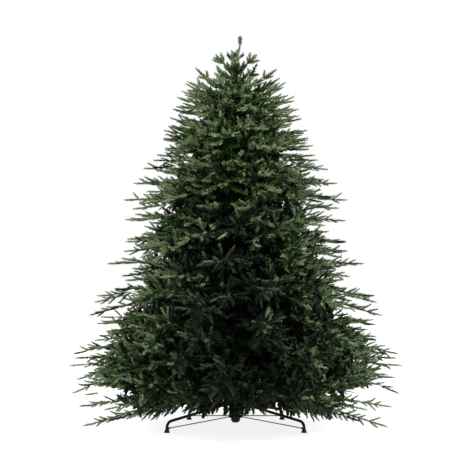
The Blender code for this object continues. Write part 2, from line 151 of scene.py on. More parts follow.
# Near the pole the fronds above and below a bough are steeper, and fill the space between tiers
STEEP_ANGLES = angles(58, 84)
FLAT_ANGLES = angles(16, 38)
STEEP_SHARE = 0.5
HANGING_SHARE = 0.74
LAYERED_TIER = 4
STEEP_REACH = 1.05

# The notch of sky low at each side: (height at the pole's plane, fall for each metre back)
NOTCH_HEIGHTS = ((0.166, 0.096), (0.18, 0.089))
NOTCH_RISE = 0.16
NOTCH_REACH = (0.45, 0.78)
NOTCH_SAMPLE = 0.6
SKIRT_REACH = 0.4
SKIRT_FLARE = 1.0

# Tufts over the stand, front and back: (degrees off the middle, foot and tip as radius, height)
TUFTS = (
    (0, 0.16, 0.19, 0.19, 0.066), (8, 0.165, 0.19, 0.2, 0.07), (-9, 0.165, 0.19, 0.2, 0.068),
    (17, 0.17, 0.195, 0.205, 0.08), (-18, 0.17, 0.195, 0.205, 0.082), (4, 0.17, 0.18, 0.21, 0.086),
    (3, 0.17, 0.2, 0.23, 0.1), (-4, 0.18, 0.2, 0.24, 0.095), (11, 0.2, 0.21, 0.25, 0.085),
    (-8, 0.2, 0.215, 0.265, 0.085), (6, 0.19, 0.21, 0.255, 0.09), (0, 0.16, 0.2, 0.215, 0.1),
    (15, 0.17, 0.19, 0.215, 0.08), (-16, 0.17, 0.19, 0.215, 0.082),
    (19, 0.22, 0.215, 0.3, 0.1), (-19, 0.22, 0.215, 0.3, 0.095), (-13, 0.18, 0.2, 0.24, 0.1),
    (38, 0.24, 0.2, 0.33, 0.098), (47, 0.26, 0.205, 0.35, 0.112), (-40, 0.24, 0.2, 0.335, 0.1),
    (-49, 0.26, 0.205, 0.35, 0.11), (29, 0.28, 0.205, 0.37, 0.135), (-31, 0.28, 0.205, 0.37, 0.13),
    (57, 0.34, 0.19, 0.44, 0.075), (-57, 0.34, 0.19, 0.44, 0.08), (66, 0.38, 0.18, 0.47, 0.065),
    (-66, 0.38, 0.18, 0.47, 0.07), (61, 0.36, 0.195, 0.51, 0.085), (-61, 0.36, 0.195, 0.51, 0.08),
    (50, 0.32, 0.195, 0.43, 0.09), (-51, 0.32, 0.195, 0.43, 0.085), (42, 0.3, 0.2, 0.4, 0.098),
    (-44, 0.3, 0.2, 0.4, 0.1), (70, 0.42, 0.175, 0.56, 0.075), (-70, 0.42, 0.175, 0.56, 0.08),
)
# Long fronds low at each side: (degrees off the side, foot and tip as radius, height)
SKIRT = (
    (16, 0.46, 0.13, 0.83, 0.024), (-4, 0.5, 0.16, 0.85, 0.098), (7, 0.6, 0.305, 0.876, 0.185),
    (24, 0.44, 0.13, 0.72, 0.06), (-17, 0.46, 0.14, 0.76, 0.066), (-27, 0.44, 0.135, 0.72, 0.08),
    (10, 0.42, 0.13, 0.51, 0.04), (19, 0.38, 0.13, 0.47, 0.045), (-8, 0.4, 0.135, 0.48, 0.048),
    (3, 0.36, 0.15, 0.56, 0.11), (14, 0.34, 0.155, 0.54, 0.095), (30, 0.36, 0.15, 0.56, 0.09),
    (-2, 0.62, 0.35, 0.9, 0.324), (5, 0.64, 0.385, 0.86, 0.372), (-9, 0.6, 0.3, 0.84, 0.262),
)
BARE_GIRTH, TUFT_LEADER, TUFT_FOOT, TUFT_DROP = 1.5, 0.6, 0.4, 0.02
# Painted light on low shoots away from the crown's edge: below LOW_LIT high, lit at least LOW_LIGHT
LOW_LIT, LOW_LIGHT = 0.2, 0.76
SKIRT_LEADER = 0.1
SKIRT_ROLL = radians(50)

# The longest fronds at each side: (height and radius of the tip, slope in degrees)
FLANKS = (
    (1.84, 0.275, 26), (1.76, 0.318, 19), (1.706, 0.345, 13), (1.647, 0.356, 11), (1.589, 0.393, 9),
    (1.53, 0.388, 6), (1.455, 0.43, 4), (1.423, 0.441, 0), (1.38, 0.505, -6), (1.3, 0.548, -2),
    (1.214, 0.607, -3), (1.161, 0.548, -8), (1.102, 0.596, -4), (0.984, 0.586, -8),
    (0.936, 0.612, -6), (0.872, 0.687, -3), (0.797, 0.618, -12), (0.701, 0.73, -8),
    (0.663, 0.762, -14), (0.599, 0.778, -16), (0.535, 0.767, -10), (0.465, 0.757, -6),
    (0.428, 0.816, 6), (0.401, 0.853, -14),
)
FLANK_LENGTH, FLANK_SHARE = 0.21, 0.7
FLANK_TURNS = (4, -9, 13, -3, 8, -14)
FLANK_ROLLS = (25, -40, 50, -20, 35, -55, 15)
TURNS_AHEAD, ROLLS_AHEAD = 3, 5

# Top: (height at the pole, reach, height of the tip, azimuths in degrees)
TOP_WHORLS = (
    (1.775, 0.15, 1.868, (0, 180, 62, 121, 243, 301)),
    (1.8, 0.18, 1.85, (27, 152, 208, 331, 88)),
    (1.83, 0.112, 1.904, (40, 140, 225, 318)),
    (1.87, 0.072, 1.948, (0, 180, 92, 268)),
    (1.925, 0.05, 2.012, (170, 290)),
)
# Shoots at the ends of the whorls: (azimuths, root radius and height, (tip radius, height, turn))
TOP_TRIDENTS = (
    ((0, 180, 92, 268), 0.0695, 1.946, ((0.112, 1.995, 0), (0.132, 1.962, 8), (0.06, 1.982, -14),
                                        (0.088, 2.001, 14), (0.126, 1.981, -9))),
    ((0, 180, 92, 268), 0.012, 1.886, ((0.072, 1.95, 0), (0.07, 1.928, 16), (0.056, 1.956, -20))),
    ((0, 180, 62, 121, 243, 301), 0.15, 1.866, ((0.226, 1.912, 0), (0.206, 1.868, 7),
                                                (0.158, 1.908, -9))),
)
TOP_SHOOTS = (
    ((0.024, 0, 2.044), (0.024, 0.002, 2.096)), ((0.024, 0, 2.042), (0.016, -0.003, 2.09)),
    ((0.024, 0, 2.042), (0.032, 0.003, 2.089)), ((0.008, 0, 1.992), (0.026, 0.001, 2.04)),
    ((-0.004, 0, 1.976), (-0.024, 0.004, 2.018)), ((-0.008, 0, 1.974), (-0.051, 0.006, 1.99)),
    ((0.006, 0, 1.985), (0.01, -0.034, 2.022)), ((0.006, 0, 1.98), (0.016, 0.036, 2.016)),
)
TOP_STEM = (
    (0, 0, 1.744), (0, 0, 1.8), (-0.001, 0, 1.86), (-0.003, 0, 1.92), (-0.005, 0, 1.965),
    (0.006, 0, 1.99), (0.02, 0, 2.03), (0.024, 0, 2.05),
)
TOP_LEADER = 0.06
STEM_END = (Vector((0.026, -0.014, 1.975)), Vector((0.046, -0.02, 1.99)), 0.0045)
TOP_SEED = 5
TOP_FILLERS = 64
TOP_FILLED = (1.7, 1.92)
TOP_FILLER_RISE, TOP_FILLER_LENGTHS = (0.7, 1.6), (0.13, 0.045)
STEM_RADII = (0.0062, 0.002)

# Stand and pole, as the solids have them
LEG_AZIMUTHS = (216, 324, 54, 126)
HUB_RADIUS = 0.025
HUB_BORE = 0.0168
HUB_FOOT = 0.024
HUB_TOP = 0.15
HUB_BOSS, BOSS_STEPS, BORE_FLOOR = (0.007, 0.018), 6, 0.034
HUB_BOLT, HUB_BOLT_TURN = (0.0032, 0.003), 24
BOLT_HEAD = ((1.5, 0, 0.3), (1, 0.3, 1))
BOLT_TAPER = 0.9
EYE_BOLT, EYE_INSET, EYE_RADIUS, EYE_THICKNESS = (0.0024, 0.0026), 0.006, 0.0055, 0.0024
ROD_SIDES, EYE_SIDES = 12, 16
LEG_COLLAR = (0.031, 0.013)
BRACE_COLLAR = (0.033, 0.007)
BRACE_TOP = 0.058
BRACE_FOOT = 0.0222
CAP_PROFILE = (
    (0, 0), (0.014, 0), (0.0153, 0.001), (0.0155, 0.0028), (0.0148, 0.0042), (0.0128, 0.0075),
    (0.0113, 0.012), (0.0107, 0.0165), (0.0104, 0.0177), (0.0098, 0.018), (0, 0.018),
)
POLE_SECTIONS = ((0.0343, 0.016), (0.66, 0.0135), (1.3, 0.0095))
POLE_TOP = 1.7417
MOUTH_LENGTH = 0.045
MOUTH_RISE = 0.002
BEADS = 3
BRACKET_HALF, BRACKET_RISE = 0.008, 0.0022
HOOK_SIZE, HOOK_PLACE = (0.012, 0.0014, 0.018), (0.004, 0.0062)
EDGE = 0.0012
TOUCH_GAP = 0.0003
WELD = 1e-6
SHARP_ANGLE = radians(32)
LATHE_STEPS = 40
TUBE_SIDES = 20
BEND_STEPS = 10

# Shoots: (lowest share of the crown's reach, needles, sides of the spindle, needle size)
SHOOT_KINDS = ((0.79, 30, 4, 1), (0.6, 12, 3, 1.45), (0, 5, 3, 2.9))
INNER_KIND = 2
SHOOT_VARIANTS = 4
GOLDEN_ANGLE = radians(137.5)
NEEDLE_LEANS = angles(44, 36)
END_NEEDLES = 0.86
NEEDLE_TAPER = 0.92
NEEDLE_FOLD = 0.22
NEEDLE_WIDEST = 0.6
NEEDLE_JITTER = 0.18
NEEDLE_TURN, NEEDLE_ROLL, NEEDLE_INSET = 0.3, 0.5, 0.8
LEAN_JITTER, END_LEANS = (0.85, 1.15), (0.35, 0.95)
SPINDLE_RADIUS = 0.0046
SPINDLE = ((0, 0.6), (0.45, 1), (0.9, 0.45))
SHOOT_BEND, BEND_JITTER = 0.011, (0.2, 1.2)
WIDEST_SHOOT, WIDTH_POWER = 1.15, 0.35
STEEP_STICK, ASLANT = 0.8, (0.3, 0.5, 1)
# Pieces of bough, with a turn of tape standing proud, and of twig: (rings, sides, twist)
BOUGH_SHAPE = ((0, 1), (0.5, 1.22), (1, 1)), 6, radians(60)
TWIG_SHAPE = ((0, 1), (1, 0.6)), 3, 0
# Faces of a shoot: its spindle, its needles, and every fourth needle, which takes the darker tone
# as painted shade
NEEDLE_FACE, DARK_NEEDLE_FACE, DARK_NEEDLE_EVERY = 1, 2, 4

# Tones of the needles, and the darker one each takes on its spindle and its shaded needles, painted
# shade inside each shoot
TONES = ("deep", "shade", "middle", "grey", "pale", "moss", "fresh", "cool")
PALE, MOSS, FRESH, COOL = range(4, 8)
PAINTED_SHADE_TONES = np.array((0, 0, 1, 2, 3, 0, MOSS, MOSS))
# Tones of the backing shoots, low and high in the crown: painted shade, less dark above
# HIGH_BACKING
BACKING_SHADE_TONES = ((0, 0, 0, 1), (1, MOSS, MOSS, 2))
HIGH_BACKING = 1.35

# Painted light and shade on a shoot's colour: by its reach, slope and height, and how far it is
# turned to a side; the patch and blur add random tone
LIGHT_OUT, LIGHT_LOSS, LIGHT_RISE, LIGHT_PATCH, LIGHT_UP, LIGHT_SIDE = 1.5, 0.45, 0.22, 0.06, 0.4, 2
LEAST_SIDE_LIGHT = 0.1
PATCHES = ((3.1, 4.7, 0), (5.3, -7.9, 1.3))
EVEN_HEIGHT, EVEN_SIDE = 0.9, 0.64
LIGHT_BLUR, SIDE_BLUR = 0.36, 0.32
LIGHT_STEPS = 4.6

# How often a shoot is a fresher green: high up, low down and at the sides
GREENER_FROM, GREENER_OVER = 1.05, 0.4
LOW_GREEN_UNDER, LOW_GREEN_OVER = 0.6, 0.45
LEAST_GREEN, SIDE_GREEN, GREEN_SHARE, GREEN_PATCH, GREEN_BLUR = 0.1, 0.6, 1.05, 0.12, 0.2
GREY_FROM, GREY_TIPS = 0.94, 0.4

# Roughness and specular level of the plain finishes
NEEDLE_FINISH = (0.45, 0.3)
FINISHES = {
    "deep": (0.6, 0.2), "shade": (0.5, 0.25), "tape": (0.8, 0.3), "twig": (0.7, 0.3),
    "stem": (0.7, 0.3),
}
# Coats: (worn colour, roughness, scale of the mottling, scale and strength of the relief)
STEEL_COAT = ((0.009, 0.009, 0.01), (0.42, 0.6), 45, (1100, 0.25))
RUBBER_SKIN = ((0.045, 0.043, 0.04), (0.62, 0.85), 160, (700, 0.35))
POLE_ENAMEL = ((0.04, 0.05, 0.03), (0.34, 0.55), 30, (600, 0.2))
COAT_SPECULAR, MOST_WORN = 0.15, 0.7
# Effects: a node, its output's socket, the noise's detail, inputs, fixed values, noise to, output
EFFECTS = {
    "speckle": ("MapRange", "NodeSocketFloat", 4, {"Scale": 60, "To Min": 0, "To Max": 1},
                {"From Min": 0.35, "From Max": 0.65}, "Value", "Result"),
    "relief": ("Bump", "NodeSocketVector", 2, {"Scale": 900, "Strength": 0.1},
               {"Distance": 0.0004}, "Height", "Normal"),
}

# Stage
WHITE = (1, 1, 1, 1)
FLOOR_SIZE, FLOOR_COLOUR, FLOOR_FINISH, FLOOR_GLOW = 14, (0.16, 0.16, 0.16), (0.9, 0), 0.87
LIGHTS = {"key": (-5, -1, 4.8), "fill": (5, -0.8, 4.8)}
LIGHT_SOFTNESS = radians(28)
CAMERA_ASIDE, SENSOR_WIDTH = 0.005, 36


# What a user would change


def number(name, description, default, **kind):
    return FloatProperty(name=name, description=description, default=default, **kind)


def length(*words):
    return number(*words, unit="LENGTH")


class FirSizes(bpy.types.PropertyGroup):
    """Sizes of the crown and of what grows in it."""

    height: length("Height", "Floor to the tip of the leader", 2.1)
    crown_radius: length("Crown radius", "Pole to the widest tips", 0.92)
    widest_height: length("Widest height", "Where the crown is widest", 0.33)
    shoulder_radius: length("Shoulder radius", "Pole to the tips at the shoulder", 0.283)
    shoulder_height: length("Shoulder height", "Where the top starts to round off", 1.84)
    lowest_root: length("Lowest root", "Where the lowest tier meets the pole", 0.335)
    highest_root: length("Highest root", "Where the highest tier meets the pole", 1.63)
    frond_gap: length("Frond gap", "Between fronds along a bough", 0.068)
    frond_length: length("Frond length", "The longest frond", 0.215)
    shoot_length: length("Shoot length", "A shoot on the side of a frond", 0.073)
    leader_length: length("Leading shoot", "The shoot at a frond's tip", 0.082)
    needle_length: length("Needle length", "The longest needles", 0.0162)
    needle_width: length("Needle width", "A needle at its widest", 0.005)
    seed: IntProperty(name="Seed", description="Chooses how the boughs lie", default=20)
    growth_seed: IntProperty(
        name="Growth seed", description="Chooses how the fronds lie", default=7
    )


def green(name, description, colour):
    return FloatVectorProperty(
        name=name, description=description, subtype="COLOR", size=3, min=0, max=1, default=colour
    )


class FirColours(bpy.types.PropertyGroup):
    """Greens, dealt out shoot by shoot, and the colours of the boughs, the pole and the stand."""

    # Deep, shade, middle, grey and pale: darker and lighter copies of one needle green, dealt out
    # as painted shade and painted light
    deep: green("Deep green", "Shoots near the pole", (0.006, 0.013, 0.004))
    shade: green("Shade green", "Shoots under others", (0.029, 0.042, 0.025))
    middle: green("Middle green", "Most shoots", (0.067, 0.096, 0.05))
    grey: green("Grey green", "Shoots near the outline", (0.13, 0.181, 0.088))
    pale: green("Pale green", "Shoots in full light", (0.245, 0.32, 0.155))
    # Moss: the painted-shade copy of the fresh and cool greens
    moss: green("Moss green", "Deeper shoots in the greener patches", (0.021, 0.052, 0.007))
    fresh: green("Fresh green", "Patches of newer green, high up", (0.062, 0.15, 0.013))
    cool: green("Cool green", "Patches of bluer green, low down", (0.041, 0.127, 0.024))
    tape: green("Bough tape", "Tape round the boughs", (0.045, 0.04, 0.022))
    stem: green("Stem end", "The bare end of the top's stem", (0.15, 0.045, 0.03))
    twig: green("Twig", "Twisted wire of the twigs", (0.04, 0.045, 0.02))
    pole: green("Pole paint", "Enamel on the pole", (0.018, 0.03, 0.016))
    steel: green("Stand coat", "Powder coat on the stand", (0.004, 0.004, 0.0045))
    rubber: green("Foot caps", "Rubber of the foot caps", (0.016, 0.016, 0.016))


class StandSizes(bpy.types.PropertyGroup):
    """Sizes of the stand, the same as its solids have."""

    leg_reach: length("Leg reach", "Pole to the middle of a foot", 0.44)
    leg_radius: length("Leg radius", "Half a leg's thickness", 0.0075)
    leg_slope: number("Leg slope", "How far a leg falls outwards", radians(10.5), subtype="ANGLE")
    leg_bend: length("Leg bend", "Radius of the bend over a foot", 0.034)
    leg_upright: length("Leg upright", "Straight part over a foot", 0.008)
    cap_height: length("Cap height", "Height of a foot cap", 0.018)
    brace_radius: length("Brace radius", "Half a brace's thickness", 0.0026)


class StageSettings(bpy.types.PropertyGroup):
    """Camera and light."""

    distance: length("Camera distance", "Camera to the pole", 8.8)
    eye_height: length("Camera height", "Camera above the floor", 1.019)
    lens: number("Lens", "Focal length in mm", 125.2)
    sky: number("Sky", "Light from the white surroundings", 0.25)
    key: number("Key light", "Strength of the main light", 5.7)
    fill: number("Fill light", "Strength of the second light", 6.1)


# The crown's outline and its tiers


def sizes():
    return bpy.context.scene.fir_sizes


def blend(low, high, share):
    return low + (high - low) * share


def polar(azimuth, radius, height):
    return Vector((radius * cos(azimuth), radius * sin(azimuth), height))


def reach_at(height):
    """The distance from the pole to the tips at a height."""
    s = sizes()
    if height < s.widest_height:
        return s.crown_radius * (1 - GROUND_TUCK * (s.widest_height - height) / s.widest_height)
    if height < s.shoulder_height:
        share = (height - s.widest_height) / (s.shoulder_height - s.widest_height)
        return blend(s.crown_radius, s.shoulder_radius, share)
    left = max(0.0, s.height - height) / (s.height - s.shoulder_height)
    return s.shoulder_radius * left**TOP_BULGE


def edge_at(height, sideways):
    """The reach of the common tips, which stand back at both sides behind the longest fronds."""
    near, more, middle, spread = SIDE_EASE
    ease = near + more * exp(-(((height - middle) / spread) ** 2))
    return reach_at(height) * (1 - ease * min(1, max(0, (sideways - SIDE_FROM) / SIDE_OVER)))


def edge_over(point):
    """The reach of the common tips in the direction of a point."""
    return edge_at(point.z, abs(point.x) / max(hypot(point.x, point.y), NEAR_ZERO))


def rise_of(tier):
    """How far up the crown a tier is, from 0 to 1."""
    return tier / (len(TIER_MASSES) - 1)


def tier_root(tier):
    return blend(sizes().lowest_root, sizes().highest_root, rise_of(tier))


def line_height(tier, radius):
    slope = blend(LOWEST_SLOPE, HIGHEST_SLOPE, rise_of(tier) ** SLOPE_CURVE)
    return tier_root(tier) + tan(slope) * radius


def ceiling(tier, radius, azimuth):
    """The surface between a tier and the one above it."""
    wave = cos(WAVES_ROUND * azimuth + WAVE_STEP * tier) * min(1, radius / WAVE_FULL_RADIUS)
    return (line_height(tier, radius) + line_height(tier + 1, radius)) / 2 + TIER_WAVE * wave


def floor_of(tier, radius, azimuth):
    if tier:
        return ceiling(tier - 1, radius, azimuth)
    return UNDERSIDE_HEIGHT - UNDERSIDE_FALL * radius * cos(azimuth) ** 2


def lifted(tier, radius, azimuth, lift):
    """A height in the tier: its floor at a lift of -1, its middle at 0 and its ceiling at 1."""
    low, high = floor_of(tier, radius, azimuth), ceiling(tier, radius, azimuth)
    return (low + high) / 2 + lift * (high - low) / 2


def tip_of(tier, azimuth, lift, shorter):
    """(radius, height) where a bough that is lifted by this share of its tier ends."""
    radius = sizes().crown_radius / 2
    for _ in range(SEARCH_STEPS):
        height = lifted(tier, radius, azimuth, lift)
        radius = (radius + edge_at(height, abs(cos(azimuth))) * shorter) / 2
    return radius, height


def first_azimuth(tier):
    count = TIER_MASSES[tier]
    shift = 1 / 2 + tier % 2 if count == 4 else 1 + tier % 3 * 2 / 3
    return shift * pi / count


def plan_boughs(tier, azimuth, half_angle, rng):
    """The main boughs of one sector as (azimuth, lift, tip radius, tip height)."""
    count = TIER_BOUGHS[tier]
    steps = [2 * i / (count - 1) - 1 for i in range(count)]
    boughs = []
    for step, lift in zip(steps, rng.sample(steps, count)):
        lift *= BOUGH_LIFT
        turn = azimuth + (step * BOUGH_SPREAD + rng.uniform(-TURN_JITTER, TURN_JITTER)) * half_angle
        shorter = 1 + RAGGED[tier] * rng.uniform(*RAGGED_SPAN) * (abs(step) == 1)
        boughs.append((turn, lift, *tip_of(tier, turn, lift, shorter)))
    return boughs


def plan_fillers(tier, rng):
    """Shorter boughs in even turns round the pole, which close the spaces between the main ones."""
    fillers = []
    for i in range(TIER_FILLERS[tier]):
        turn = i * GOLDEN_ANGLE + tier
        lift = FILLER_LIFT * (2 * (i + 0.5) / TIER_FILLERS[tier] - 1)
        fillers.append((turn, lift, *tip_of(tier, turn, lift, rng.uniform(*FILLER_REACH[tier]))))
    return fillers


# Growth


class Growth:
    """What one tier carries: segments of bough, twigs, and shoots by kind."""

    def __init__(self, seed):
        self.rng = random.Random(seed)
        self.boughs, self.twigs, self.shoots = [], [], []


def tone_with_painted_light(rng, share, height, azimuth, rise):
    """The colour of a shoot as an index into TONES: painted light and shade by its place in the
    crown, with random patches and spread, and some fresher greens.
    """
    patch = sum(sin(turns * azimuth + climb * height + shift) for turns, climb, shift in PATCHES)
    sideways = abs(cos(azimuth))
    # Painted light and shade: brighter further out from the pole and on rising shoots, with random
    # patches and spread
    light = LIGHT_OUT * share - LIGHT_LOSS + LIGHT_RISE * rise + LIGHT_PATCH * patch
    light += rng.gauss(0, LIGHT_BLUR + SIDE_BLUR * sideways)
    # Painted light from above and from the side lamps: brighter higher up, and at the sides low
    # down
    low_down = max(LEAST_SIDE_LIGHT, 1 - height / sizes().height)
    light += LIGHT_UP * (height - EVEN_HEIGHT) + LIGHT_SIDE * (sideways - EVEN_SIDE) * low_down
    tone = min(PALE, max(0, int(light * LIGHT_STEPS)))
    high = min(1, (height - GREENER_FROM) / GREENER_OVER)
    low = (LOW_GREEN_UNDER - height) / LOW_GREEN_OVER
    greener = max(LEAST_GREEN, min(1, max(high, low, 2 * sideways - SIDE_GREEN)))
    greener *= GREEN_SHARE + GREEN_PATCH * patch
    if share > GREY_FROM:
        greener *= GREY_TIPS
    if tone in (0, PALE) or rng.random() > greener:
        return tone
    # MOSS is the painted-shade step of the greener greens
    if tone == 1:
        return MOSS
    return FRESH if height > rng.gauss(GREENER_FROM, GREEN_BLUR) else COOL


def span(root, tip):
    """The direction and the length from root to tip."""
    return (tip - root).normalized(), (tip - root).length


def add_shoot(growth, root, lean, length, up, edge=EDGE_OF_CROWN, girth=1, backing=False):
    """A shoot from root along lean, if the crown has room for it."""
    rng = growth.rng
    tip = root + lean * length
    radius = hypot(tip.x, tip.y)
    if edge and (tip.z < LOWEST_TIP or radius > edge_over(tip) * edge):
        return
    if in_notch(root + lean * length * NOTCH_SAMPLE, not edge):
        return
    share = (radius + TIP_EASE) / (reach_at(tip.z) + TIP_EASE)
    kind = next(i for i, row in enumerate(SHOOT_KINDS) if share >= row[0] or not edge)
    # Low shoots away from the edge are painted at least LOW_LIGHT lit
    lit = share if edge or tip.z > LOW_LIT else max(share, LOW_LIGHT)
    tone = tone_with_painted_light(rng, lit, tip.z, atan2(tip.y, tip.x), lean.z)
    # Backing shoots take only dark tones: painted shade inside the crown
    if backing:
        kind, tone = INNER_KIND, rng.choice(BACKING_SHADE_TONES[tip.z > HIGH_BACKING])
    growth.shoots.append((kind, root, lean, up, length, tone, girth))


def grow_frond(growth, root, lean, length, up, leader, edge=EDGE_OF_CROWN):
    """A flat spray: a twig with a leading shoot and pairs of shoots beside it."""
    rng = growth.rng
    side = lean.cross(up).normalized()
    up = side.cross(lean)
    bare = max(LEAST_TWIG, length - leader)
    end = root + lean * bare
    growth.twigs.append((root, end, TWIG_RADIUS))
    add_shoot(growth, end, lean, leader, up, edge)
    inside = hypot(end.x, end.y) < reach_at(end.z) * INSIDE
    if not inside:
        coated = bare * COATED
        count = max(1, round(coated / sizes().shoot_length))
        for i in range(count):
            place = root + lean * bare * (1 - COATED * (1 - i / count))
            add_shoot(growth, place, lean, coated / count * COAT_OVERLAP, up, edge)
    pairs = max(1, round(bare / PAIR_GAP / (INSIDE_GAP if inside else 1)))
    for i in range(pairs):
        share = (i + PAIR_PLACE) / pairs
        place = root + lean * bare * share
        for hand in (-1, 1):
            if rng.random() < MISSING_SHOOTS:
                continue
            angle = rng.uniform(*SHOOT_ANGLES)
            turned = lean * cos(angle) + side * hand * sin(angle) + up * rng.uniform(*SHOOT_RISE)
            reach = sizes().shoot_length * blend(1, SHOOT_TAPER, share)
            reach *= rng.uniform(*SHOOT_LENGTHS)
            add_shoot(growth, place, turned.normalized(), reach, up, edge)


def in_notch(point, only_notch):
    """Whether a point is in the open notch at each side, or under it, where only skirts grow."""
    low, high = (height - fall * point.y for height, fall in NOTCH_HEIGHTS)
    high += NOTCH_RISE * (abs(point.x) - NOTCH_REACH[0])
    inside = NOTCH_REACH[0] < abs(point.x) < NOTCH_REACH[1] and low < point.z < high
    under = point.z < low and abs(point.x) > SKIRT_REACH + SKIRT_FLARE * point.z
    return inside or (not only_notch and under)


def fitting_frond(root, lean, length):
    """The length at which a frond stays inside the crown."""
    if in_notch(root + lean * length / 2, False):
        return 0
    for _ in range(FIT_TRIES):
        tip = root + lean * length
        if hypot(tip.x, tip.y) < edge_over(tip) * EDGE_OF_CROWN and tip.z > LOWEST_TIP:
            return length
        length *= FIT_STEP
    return 0


def rolled(up, lean, angle):
    return Matrix.Rotation(angle, 3, lean) @ up


def grow_bough(growth, tier, turn, lift, radius, height, is_main):
    """A bough from the pole to its tip, with fronds to both sides, above and below."""
    rng = growth.rng
    foot = polar(turn, BOUGH_ROOT, tier_root(tier) + lift * ROOT_SPREAD)
    tip = polar(turn, radius, height)
    run = tip - foot
    length, lean = run.length, run.normalized()
    side = lean.cross(UP).normalized()
    up = side.cross(lean)
    front, rise = 1 - abs(cos(turn)), rise_of(tier)
    calm = blend(1, CALM_TOP, rise)
    arch = (BOUGH_ARCH[tier] + FRONT_ARCH * front + rng.uniform(-ARCH_JITTER, ARCH_JITTER)) * length
    sway = rng.uniform(-1, 1) * blend(ARCH_JITTER, FRONT_SWAY, front) * length

    def at(share):
        bow = sin(pi * share)
        return foot + run * share + up * arch * bow + side * sway * bow

    end = 1 - min(END_FROND, length / 2) / length
    count = max(2, ceil(length * end / BOUGH_SEGMENT))
    points = [at(end * i / count) for i in range(count + 1)]
    for i, (a, b) in enumerate(zip(points, points[1:])):
        growth.boughs.append((a, b, blend(*BOUGH_RADII, i / count)))
    last = tip - at(end)
    fall = UP * -rng.uniform(*TIP_FALL) + side * rng.uniform(-1, 1) * blend(*TIP_SWAY, rise)
    last = (last.normalized() + fall * front).normalized() * last.length
    face = rolled(up, last.normalized(), rng.choice((-1, 1)) * rng.uniform(*END_ROLL) * calm)
    leader = sizes().leader_length * BOUGH_LEADERS[is_main]
    grow_frond(growth, at(end), last.normalized(), last.length, face, leader, EDGE_OF_LEADERS)
    scale = blend(SHORT_BOUGH, 1, radius / sizes().crown_radius)
    distance, station = FIRST_FROND * length, 0
    while distance < length * end:
        share = distance / length
        place, size = at(share), blend(1, FROND_TIP_SHARE, share) * scale
        below = share < HANGING_SHARE and station % 2 == 0
        hands = [(side, 1), (side, -1), (up, -1 if below else 1)]
        if tier >= LAYERED_TIER and share > HANGING_SHARE:
            hands.pop()
        for axis, hand in hands:
            spread, stretch, across = FROND_ANGLES, 1, up
            if axis is up:
                spread, stretch, across = RISING_ANGLES, RISING_REACH, side
                if share < STEEP_SHARE:
                    spread, stretch = STEEP_ANGLES, STEEP_REACH
                elif share > HANGING_SHARE:
                    spread = FLAT_ANGLES
            angle = rng.uniform(*spread) + (axis is side) * front * blend(*FRONT_SPREADS, rise)
            turned = lean * cos(angle) + axis * hand * sin(angle)
            turned.z -= FRONT_FALL * front * rng.random()
            turned = (turned + across * rng.uniform(*FROND_RISE) * calm).normalized()
            reach = sizes().frond_length * size * rng.uniform(1 - FROND_JITTER, 1 + FROND_JITTER)
            reach = fitting_frond(place, turned, reach * stretch)
            if reach > SHORTEST_FROND:
                face = rolled(across, turned, rng.uniform(-FROND_ROLL, FROND_ROLL) * calm)
                leader = sizes().leader_length * blend(*FROND_LEADERS, size)
                grow_frond(growth, place, turned, reach, face, leader)
        if BACKED[0] < share < BACKED[1]:
            for hand in (-1, 1):
                turned = lean * rng.uniform(*BACKING_LEAN) + up * hand + side * rng.uniform(-1, 1)
                add_shoot(growth, place, turned.normalized(), BACKING_LENGTH, side, backing=True)
        station += 1
        distance += sizes().frond_gap * blend(*STATION_GAPS, share)


def grow_hanging(growth):
    """The tufts over the stand and the long low fronds at the sides, the same front and back."""
    for rows, middles in ((TUFTS, FRONT_AND_BACK), (SKIRT, SIDES)):
        for degrees, near, high, far, low in rows:
            for middle in middles:
                turn = radians(middle + (degrees if middle > 0 else -degrees))
                root = polar(turn, near, high)
                lean, run = span(root, polar(turn, far, low))
                up = rolled(UP, lean, SKIRT_ROLL) if rows is SKIRT else polar(turn, 1, 0)
                leader = SKIRT_LEADER if run > 2 * SKIRT_LEADER else run * TUFT_LEADER
                grow_frond(growth, root, lean, run, up, leader, None)
                if rows is TUFTS:
                    add_shoot(growth, root, lean, run, up, None, BARE_GIRTH)
                foot = polar(turn, near * TUFT_FOOT, tier_root(0) - TUFT_DROP)
                growth.boughs.append((foot, root, BOUGH_RADII[1]))


def grow_flanks(growth, tier):
    """The tier's share of the longest fronds at both sides."""
    for i, (height, radius, slope) in enumerate(FLANKS):
        for side, middle in enumerate(SIDES):
            turn = radians(middle + FLANK_TURNS[(i + TURNS_AHEAD * side) % len(FLANK_TURNS)])
            if not floor_of(tier, radius, turn) <= height < ceiling(tier, radius, turn):
                continue
            lean = polar(turn, cos(radians(slope)), sin(radians(slope)))
            tip = polar(turn, radius / abs(cos(turn)), height)
            root = tip - lean * min(FLANK_LENGTH, radius * FLANK_SHARE)
            roll = FLANK_ROLLS[(i + ROLLS_AHEAD * side) % len(FLANK_ROLLS)]
            face, leader = rolled(UP, lean, radians(roll)), sizes().leader_length
            grow_frond(growth, root, lean, (tip - root).length, face, leader, None)
            growth.boughs.append((polar(turn, BOUGH_ROOT, tier_root(tier)), root, BOUGH_RADII[1]))


def grow_tier(tier):
    """Everything that one tier of boughs carries."""
    growth = Growth(sizes().growth_seed + tier)
    count = TIER_MASSES[tier]
    half_angle = pi / count
    for sector in range(count):
        rng = random.Random(sizes().seed + SEED_STEP * tier + sector % (count // 2))
        azimuth = first_azimuth(tier) + 2 * half_angle * sector
        for bough in plan_boughs(tier, azimuth, half_angle, rng):
            grow_bough(growth, tier, *bough, True)
    for bough in plan_fillers(tier, growth.rng):
        grow_bough(growth, tier, *bough, False)
    grow_flanks(growth, tier)
    if tier == 0:
        grow_hanging(growth)
    return growth


